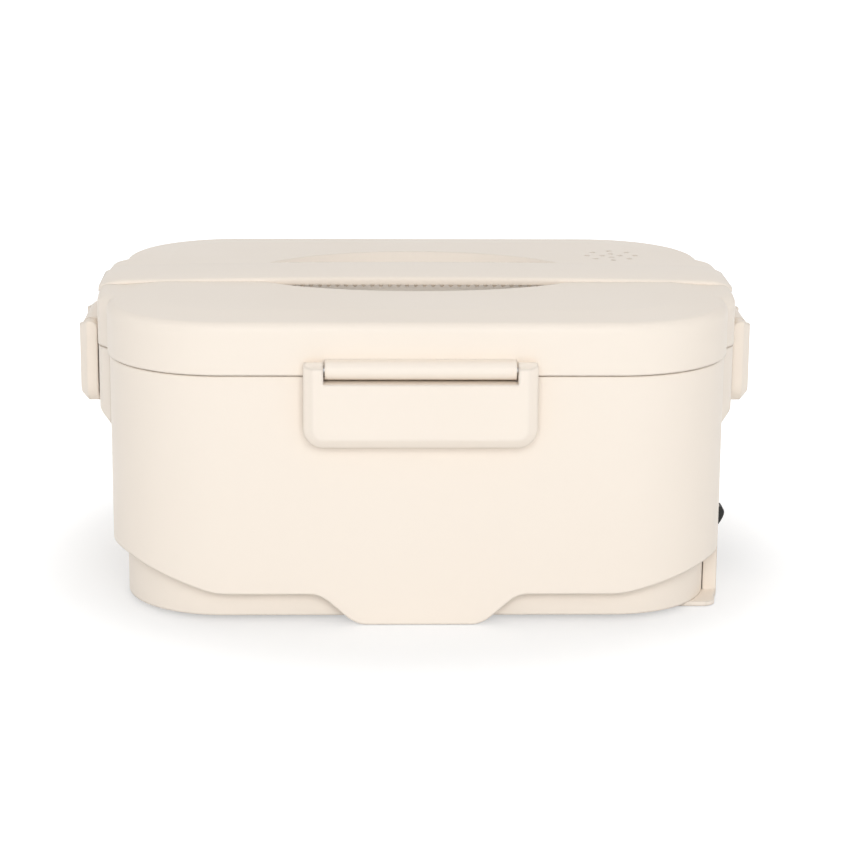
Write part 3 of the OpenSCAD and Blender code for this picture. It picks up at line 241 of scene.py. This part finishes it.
# %% Moulded grain, hair lines and slow drift
GRAIN_SCALE, DRIFT_SCALE, SMUDGE_SCALE = 2600.0, 18.0, 34.0
LINE_STRETCH = (20.0, 1800.0, 1800.0)
grain, g_in, g_out = new_group("moulded_grain",
    [("Scale", "NodeSocketFloat", GRAIN_SCALE), ("Drift Scale", "NodeSocketFloat", DRIFT_SCALE)],
    ("Grain", "Drift"))
place = grain.nodes.new("ShaderNodeTexCoord").outputs["Object"]
fine = noise_node(grain, place, g_in.outputs["Scale"], detail=3.0, roughness=0.6)
drift = noise_node(grain, place, g_in.outputs["Drift Scale"], detail=3.0, roughness=0.45)
grain.links.new(fine, g_out.inputs["Grain"])
grain.links.new(drift, g_out.inputs["Drift"])

hair, h_in, h_out = new_group("hair_lines",
    [("Stretch", "NodeSocketVector", LINE_STRETCH)], ("Lines", "Smudge"))
place = hair.nodes.new("ShaderNodeTexCoord").outputs["Object"]
scaled = hair.nodes.new("ShaderNodeVectorMath"); scaled.operation = "MULTIPLY"
hair.links.new(place, scaled.inputs[0])
hair.links.new(h_in.outputs["Stretch"], scaled.inputs[1])
lines = noise_node(hair, scaled.outputs[0], 1.0, detail=3.0, roughness=0.65)
smudge = noise_node(hair, place, SMUDGE_SCALE, detail=4.0, roughness=0.6)
hair.links.new(lines, h_out.inputs["Lines"])
hair.links.new(smudge, h_out.inputs["Smudge"])
print("groups:", [g.name for g in bpy.data.node_groups])

# %% [markdown]
# ## Materials
# A material starts from one recipe: a base colour that drifts a little, a roughness that the grain
# breaks up, and a bump on top of rounded edges. Each finish then sets its own numbers. Painted pictures
# could do this too, but a recipe of noise has no seams and stays sharp at any distance.

# %% Colours and hollows
PAINTED_SHADE_SAMPLES = 8


def srgb(r, g, b):
    """The linear colour of an sRGB colour whose channels go from 0 to 255."""
    def linear(v):
        return v / 12.92 if v < 0.04045 else ((v + 0.055) / 1.055) ** 2.4

    return tuple(linear(v / 255) for v in (r, g, b)) + (1.0,)


def mixed(tree, fine, slow, share):
    """Fine noise by its share and slow noise by the rest."""
    return math_node(tree, "ADD", math_node(tree, "MULTIPLY", fine, share),
        math_node(tree, "MULTIPLY", slow, 1.0 - share))


def painted_hollow_shade(tree, colour, reach, half_l, half_w, foot, head, keep):
    """Paint shade into the colour, down to the share keep, in closed-in spots of one box round the
    middle.
    """
    shade = set_inputs(tree.nodes.new("ShaderNodeAmbientOcclusion"), {"Distance": reach})
    shade.samples = PAINTED_SHADE_SAMPLES
    place = tree.nodes.new("ShaderNodeSeparateXYZ")
    tree.links.new(tree.nodes.new("ShaderNodeTexCoord").outputs["Object"], place.inputs[0])
    closed = math_node(tree, "SUBTRACT", 1.0, shade.outputs["AO"])
    for axis, half in (("X", half_l), ("Y", half_w)):
        off_middle = math_node(tree, "ABSOLUTE", place.outputs[axis], 0.0)
        closed = math_node(tree, "MULTIPLY", closed, math_node(tree, "LESS_THAN", off_middle, half))
    for operation, limit in (("GREATER_THAN", foot), ("LESS_THAN", head)):
        inside = math_node(tree, operation, place.outputs["Z"], limit)
        closed = math_node(tree, "MULTIPLY", closed, inside)
    factor = math_node(tree, "SUBTRACT", 1.0, math_node(tree, "MULTIPLY", closed, 1.0 - keep))
    darker = tree.nodes.new("ShaderNodeVectorMath"); darker.operation = "SCALE"
    tree.links.new(colour, darker.inputs[0])
    tree.links.new(factor, darker.inputs["Scale"])
    return darker.outputs[0]


print("helpers: srgb, mixed, painted_hollow_shade")

# %% The recipe
MAT = {}
MICRON = 0.000001
MIX_COLOURS, MIX_RESULT = (6, 7), 2
TINT_FINE, GLOSS_FINE = 0.35, 0.5
NOISE_LOW, NOISE_HIGH = 0.3, 0.7
BEVEL_SAMPLES = 6


def finish(name, light, dark, rough, bump, edge=0.0005, group=grain,
           effect=None, sockets=None, painted_shade=None):
    """Make a material.

    light and dark are the two sRGB colours that it drifts between, rough is its least and most
    roughness, bump is the strength of its grain and the depth in microns, and edge is the radius
    that its edges look rounded to.
    """
    mat = MAT[name] = bpy.data.materials.new(name)
    mat.use_nodes = True
    tree = mat.node_tree
    bsdf = set_inputs(tree.nodes["Principled BSDF"], sockets or {})
    skin = tree.nodes.new("ShaderNodeGroup")
    skin.node_tree = group
    set_inputs(skin, effect or {})
    fine, slow = skin.outputs[0], skin.outputs[1]
    tint = tree.nodes.new("ShaderNodeMix"); tint.data_type = "RGBA"
    for socket, value in zip(MIX_COLOURS, (light, dark)):
        tint.inputs[socket].default_value = srgb(*value)
    tree.links.new(mixed(tree, fine, slow, TINT_FINE), tint.inputs[0])
    colour = tint.outputs[MIX_RESULT]
    # Painted shade: where given, the colour darkens by how closed in each point is.
    if painted_shade:
        colour = painted_hollow_shade(tree, colour, **painted_shade)
    tree.links.new(colour, bsdf.inputs["Base Color"])
    gloss = set_inputs(tree.nodes.new("ShaderNodeMapRange"),
        {"From Min": NOISE_LOW, "From Max": NOISE_HIGH, "To Min": rough[0], "To Max": rough[1]})
    tree.links.new(mixed(tree, fine, slow, GLOSS_FINE), gloss.inputs["Value"])
    tree.links.new(gloss.outputs[0], bsdf.inputs["Roughness"])
    relief = set_inputs(tree.nodes.new("ShaderNodeBump"),
        {"Strength": bump[0], "Distance": bump[1] * MICRON})
    tree.links.new(fine, relief.inputs["Height"])
    if edge:
        soft = set_inputs(tree.nodes.new("ShaderNodeBevel"), {"Radius": edge})
        soft.samples = BEVEL_SAMPLES
        tree.links.new(soft.outputs[0], relief.inputs["Normal"])
    tree.links.new(relief.outputs[0], bsdf.inputs["Normal"])


print("recipe ready")

# %% [markdown]
# ## Cream plastic
# The shell, the lid, the handle and the latches are moulded in one warm cream with a satin skin. The
# wide latches have rounder lips, so they get a larger edge radius. The finger recess in the lid is
# closed in on most sides and little light gets in, so shade is painted into the lid's colour there,
# darker by how closed in a point is. A dark colour on the recess's faces would end in a hard line, and
# this fades.

# %% Cream plastic
SHELL_EDGE, SOFT_EDGE = 0.0011, 0.0018
# Painted shade: the box round the finger recess where the lid's colour is darkened, and how dark it
# gets.
RECESS_PAINTED_SHADE = {"reach": 0.04, "half_l": 0.07, "half_w": 0.045, "foot": 0.088, "head": 0.0985, "keep": 0.4}
for name, edge, painted_shade in (("cream_plastic", SHELL_EDGE, None), ("cream_soft", SOFT_EDGE, None),
                           ("cream_lid", SHELL_EDGE, RECESS_PAINTED_SHADE)):
    finish(name, (251, 241, 229), (248, 237, 224), (0.38, 0.5), (0.16, 20), edge,
        sockets={"Specular IOR Level": 0.22}, painted_shade=painted_shade)
print("cream:", sorted(MAT))

# %% [markdown]
# ## Other plastics and rubbers
# The liner and the lid's inner panel are a cooler, paler plastic, and the tray is white, so that they
# tell apart when the lid is off. The lid's seal and steam valve are milky silicone, which lets some
# light in, so it scatters a little under its surface. The feet and the socket's cover are matt black
# rubber with a coarse grain. Colour alone could tell these apart, but gloss is what shows rubber.

# %% Other plastics and rubbers
finish("pale_plastic", (243, 238, 229), (236, 230, 220), (0.42, 0.55), (0.18, 20))
finish("white_plastic", (240, 242, 244), (232, 235, 238), (0.3, 0.42), (0.1, 20))
finish("black_plastic", (52, 51, 50), (38, 37, 36), (0.4, 0.6), (0.3, 30), 0.0003)
finish("black_rubber", (50, 50, 49), (34, 34, 33), (0.62, 0.8), (0.45, 40), 0.0004,
    effect={"Scale": 1800.0, "Drift Scale": 60.0})
finish("clear_silicone", (233, 233, 230), (216, 217, 213), (0.34, 0.5), (0.1, 30),
    effect={"Scale": 900.0}, sockets={"Subsurface Weight": 0.15, "Subsurface Scale": 0.002})
finish("red_silicone", (190, 88, 62), (168, 70, 48), (0.5, 0.7), (0.2, 30))
finish("wire_insulation", (176, 34, 28), (150, 24, 20), (0.4, 0.6), (0.2, 30), 0.0,
    effect={"Scale": 1200.0, "Drift Scale": 120.0})
print("plastics and rubbers:", len(MAT))

# %% [markdown]
# ## Ceramic and fibre
# The thermal fuse has a smooth ceramic body, and a fibre mat under the heater keeps the warmth in. The
# mat could be made of hair, but it lies inside the base, where a deep bump of noise shows enough.

# %% Ceramic and fibre
finish("ceramic", (240, 234, 218), (226, 216, 194), (0.16, 0.3), (0.12, 30), 0.0002,
    effect={"Scale": 1500.0, "Drift Scale": 200.0})
finish("fibre", (236, 231, 218), (205, 198, 180), (0.85, 1.0), (0.8, 400), 0.0,
    effect={"Scale": 700.0, "Drift Scale": 140.0}, sockets={"Specular IOR Level": 0.1})
print("with ceramic and fibre:", len(MAT))

# %% [markdown]
# ## Metals
# The pan and the clips are drawn steel, the heating plate is aluminium, and the socket's pins are
# brass. Drawing and brushing leave fine lines, so the noise is stretched along one axis. A scratched
# picture would repeat itself on the long walls, and noise doesn't.

# %% Metals
METAL = {"Metallic": 1.0}
finish("steel", (206, 208, 211), (178, 181, 186), (0.2, 0.38), (0.12, 20), 0.0002, hair, sockets=METAL)
finish("pin_steel", (200, 201, 204), (170, 173, 178), (0.22, 0.4), (0.1, 10), 0.0001, hair,
    effect={"Stretch": (900.0, 900.0, 900.0)}, sockets=METAL)
finish("aluminium", (222, 223, 226), (196, 199, 203), (0.3, 0.5), (0.25, 30), 0.0003, hair,
    effect={"Stretch": (900.0, 30.0, 900.0)}, sockets=METAL)
finish("brass", (226, 190, 110), (196, 158, 84), (0.22, 0.4), (0.15, 20), 0.0001, hair,
    effect={"Stretch": (1500.0, 60.0, 60.0)}, sockets=METAL)
print("with metals:", len(MAT))

# %% [markdown]
# ## Board and lens
# The indicator is a small red lens with a green circuit board behind it. The lens could be clear glass
# with a red lamp in it, but the box isn't switched on, so it is a half-clear red plastic.

# %% Board and lens
finish("board", (48, 122, 74), (24, 84, 50), (0.3, 0.45), (0.3, 30), 0.0,
    effect={"Scale": 500.0, "Drift Scale": 600.0})
finish("lens", (226, 62, 50), (200, 40, 34), (0.08, 0.16), (0.05, 20), 0.0002,
    effect={"Scale": 700.0, "Drift Scale": 300.0}, sockets={"Transmission Weight": 0.45})
print("materials:", len(MAT))

# %% [markdown]
# ## Dress the CAD parts
# The record names a finish for each part. A part's shape stays as it is and only its material slots
# change. Small turned metal parts take a plainer steel than the drawn sheets. The two wide latches
# take the cream with the softest edges, and the lid takes the one with painted shade in its recess.

# %% Assign the finishes
SLOT = {row["node"]: row["material_slot"] for row in frame["record"]["subparts"]}
TURNED = ("plate_screws", "clamp_screws", "base_screws", "handle_screws",
          "front_hinge_pin", "rear_hinge_pin", "left_hinge_pin", "right_hinge_pin")
# The lid's material has painted shade in its finger recess.
OWN = {"lid_shell": "cream_lid", "front_latch": "cream_soft", "rear_latch": "cream_soft"}
OWN.update(dict.fromkeys(TURNED, "pin_steel"))
for name, node in frame["nodes"].items():
    node.data.materials.clear()
    node.data.materials.append(MAT[OWN.get(name, SLOT[name])])
print("dressed", len(SLOT), "parts")

# %% [markdown]
# ## Deep-drawn shapes
# The food pan is pressed from one steel sheet, so its corners and the foot of its wall are round, which
# straight CAD walls can't show. The sheet's upper face starts as a flat plane with its corners rounded
# by a vertex bevel. Insets then walk down its profile, ring by ring, and Solidify gives the sheet its
# thickness on the outside. A point of a profile says how far in from the rim and how high it lies. The
# side-dish tray is moulded in one piece and is made the same way.

# %% Helpers for pressed pieces
SHARP_ANGLE, SMOOTH_ANGLE = math.radians(50), math.radians(40)


def only_this(obj):
    bpy.ops.object.select_all(action="DESELECT")
    obj.select_set(True)
    bpy.context.view_layer.objects.active = obj


def rounded_plate(name, low, high, corner_r, segments):
    """A flat face as wide as the box, its corners rounded: left ones first, then right ones."""
    middle = (low[0] + high[0]) / 2
    bpy.ops.object.select_all(action="DESELECT")
    bpy.ops.mesh.primitive_plane_add(size=1, location=(middle, 0, high[2]))
    obj = bpy.context.object
    obj.name = obj.data.name = name
    obj.scale = (high[0] - low[0], 2 * high[1], 1)
    bpy.ops.object.transform_apply(location=True, rotation=True, scale=True)
    for side, radius in zip((-1, 1), corner_r):
        bpy.ops.object.mode_set(mode="OBJECT")
        corners = sorted(obj.data.vertices, key=lambda v: side * v.co.x, reverse=True)[:2]
        for part in (obj.data.vertices, obj.data.edges, obj.data.polygons):
            part.foreach_set("select", [False] * len(part))
        for v in corners:
            v.select = True
        bpy.ops.object.mode_set(mode="EDIT")
        bpy.ops.mesh.select_mode(type="VERT")
        bpy.ops.mesh.bevel(offset=radius, segments=segments, affect="VERTICES")
    bpy.ops.mesh.select_mode(type="FACE")
    bpy.ops.mesh.select_all(action="SELECT")
    return obj


def walk_down(profile):
    """Inset the selected face along (inset, height) points, from the rim inwards."""
    for (in_a, z_a), (in_b, z_b) in zip(profile, profile[1:]):
        bpy.ops.mesh.inset(thickness=in_b - in_a, depth=z_b - z_a,
            use_even_offset=True, use_boundary=True)


def fillet(a, corner, b, steps):
    """Points of a curve from a to b that turns at corner."""
    points = []
    for t in (i / steps for i in range(steps + 1)):
        shares = (1 - t) ** 2, 2 * t * (1 - t), t * t
        points.append(tuple(sum(w * v for w, v in zip(shares, axis)) for axis in zip(a, corner, b)))
    return points


def finish_sheet(obj, thickness, edge):
    """Give the sheet its thickness and round its edges."""
    bpy.ops.object.mode_set(mode="OBJECT")
    wall = obj.modifiers.new("wall", "SOLIDIFY")
    wall.thickness = thickness
    wall.offset = -1
    wall.use_even_offset = True
    rounding = obj.modifiers.new("edges", "BEVEL")
    rounding.width = edge
    rounding.segments = 2
    rounding.limit_method = "ANGLE"
    rounding.angle_limit = SHARP_ANGLE
    only_this(obj)
    for modifier in ("wall", "edges"):
        bpy.ops.object.modifier_apply(modifier=modifier)
    bpy.ops.object.shade_smooth_by_angle(angle=SMOOTH_ANGLE)


def report(obj):
    size = [round(v * 1000, 1) for v in obj.dimensions]
    print(obj.name, len(obj.data.polygons), "faces", size, "mm")


print("helpers: only_this, rounded_plate, walk_down, fillet, finish_sheet, report")

# %% Steel food pan
SHEET, SHEET_EDGE = 0.0008, 0.0002
RIM_IN = 0.0061
PAN_CORNERS, PAN_STEPS = (0.035, 0.035), 18
low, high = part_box("food_container")
rim_z, shelf_z, floor_z = high[2], high[2] - 0.0026, low[2] + SHEET
swell_z = floor_z + 0.0005
rolled_rim = fillet((0.0049, rim_z), (RIM_IN, rim_z), (RIM_IN, rim_z - 0.0012), 3)
shelf_foot = fillet((RIM_IN, shelf_z + 0.0007), (RIM_IN, shelf_z), (RIM_IN + 0.0007, shelf_z), 2)
shelf_edge = fillet((0.0080, shelf_z), (0.0091, shelf_z), (0.0091, shelf_z - 0.0011), 3)
wall_foot = fillet((0.0094, floor_z + 0.009), (0.0095, floor_z), (0.0185, floor_z), 7)
raised_floor = [(0.0220, floor_z), (0.0228, swell_z), (0.0300, swell_z)]

pan = rounded_plate("steel_food_pan", low, high, PAN_CORNERS, PAN_STEPS)
walk_down([(0, rim_z)] + rolled_rim + shelf_foot + shelf_edge + wall_foot + raised_floor)
finish_sheet(pan, SHEET, SHEET_EDGE)
report(pan)
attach(pan, "container")
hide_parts("food_container")
pan.data.materials.append(MAT["steel"])

# %% [markdown]
# ## Side-dish tray
# The tray hangs in the left half of the pan by its rim. Its two left corners follow the pan's, and its
# two right ones are tight, because they lie in the middle of the pan.

# %% Moulded tray
TRAY_WALL, TRAY_EDGE = 0.0012, 0.0003
TRAY_CORNERS, TRAY_STEPS = (0.0286, 0.008), 12
low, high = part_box("side_dish_tray")
rim_z, floor_z = high[2], low[2] + TRAY_WALL
rounded_rim = fillet((0.0034, rim_z), (0.0045, rim_z), (0.0045, rim_z - 0.0012), 3)
wall_foot = fillet((0.0052, floor_z + 0.0022), (0.0053, floor_z), (0.0072, floor_z), 5)

tray = rounded_plate("moulded_side_dish_tray", low, high, TRAY_CORNERS, TRAY_STEPS)
walk_down([(0, rim_z)] + rounded_rim + wall_foot)
finish_sheet(tray, TRAY_WALL, TRAY_EDGE)
report(tray)
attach(tray, "tray")
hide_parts("side_dish_tray")
tray.data.materials.append(MAT[SLOT["side_dish_tray"]])

# %% [markdown]
# ## Handle
# The flat handle has full, soft edges where fingers close round it. A Bevel node would round them for
# the light and leave the outline sharp, so a copy of the CAD handle is merged into one clean mesh, and
# the two long edges at its rim, found by their place, are bevelled. Past TURN_X the rim is looked for
# over a greater height, because it falls towards the ends.

# %% Handle with rounded edges
MERGE, STRAIGHT, SHARP = 0.00001, math.radians(0.01), math.radians(45)
TURN_X, MIDDLE_FALL, END_FALL = 0.1, 0.0016, 0.0040
LONGEST_STEP, SIDE_SLACK = 0.01, 0.0001
GRIP_EDGE, GRIP_STEPS, GRIP_SMOOTH = 0.0013, 5, math.radians(35)

bpy.ops.object.select_all(action="DESELECT")
handle = frame["nodes"]["carry_handle"].copy()
handle.data = handle.data.copy()
bpy.context.scene.collection.objects.link(handle)
handle.name = handle.data.name = "rounded_carry_handle"
only_this(handle)
bpy.ops.object.mode_set(mode="EDIT")
bpy.ops.mesh.select_mode(type="EDGE")
bpy.ops.mesh.select_all(action="SELECT")
bpy.ops.mesh.remove_doubles(threshold=MERGE)
bpy.ops.mesh.dissolve_limited(angle_limit=STRAIGHT)
bpy.ops.mesh.select_all(action="DESELECT")
bpy.ops.mesh.edges_select_sharp(sharpness=SHARP)
bpy.ops.object.mode_set(mode="OBJECT")

low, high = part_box("carry_handle")
points = handle.data.vertices
for edge in handle.data.edges:
    ends = [points[i].co for i in edge.vertices]
    at_rim = all(abs(abs(p.y) - high[1]) < SIDE_SLACK and
        p.z > high[2] - (MIDDLE_FALL if abs(p.x) < TURN_X else END_FALL) for p in ends)
    edge.select = edge.select and at_rim and (ends[0] - ends[1]).length < LONGEST_STEP
print("edges to round:", sum(edge.select for edge in handle.data.edges))
bpy.ops.object.mode_set(mode="EDIT")
bpy.ops.mesh.bevel(offset=GRIP_EDGE, segments=GRIP_STEPS, affect="EDGES", clamp_overlap=False)
bpy.ops.object.mode_set(mode="OBJECT")
bpy.ops.object.shade_smooth_by_angle(angle=GRIP_SMOOTH)
report(handle)
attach(handle, "lid")
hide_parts("carry_handle")

# %% [markdown]
# ## View transform
# The view layer is brought up to date, and the Standard view transform shows the colours as they are.
# The dressed model must stay inside the CAD model's box.

# %% Set the view transform
bpy.context.view_layer.update()
bpy.context.scene.view_settings.view_transform = "Standard"
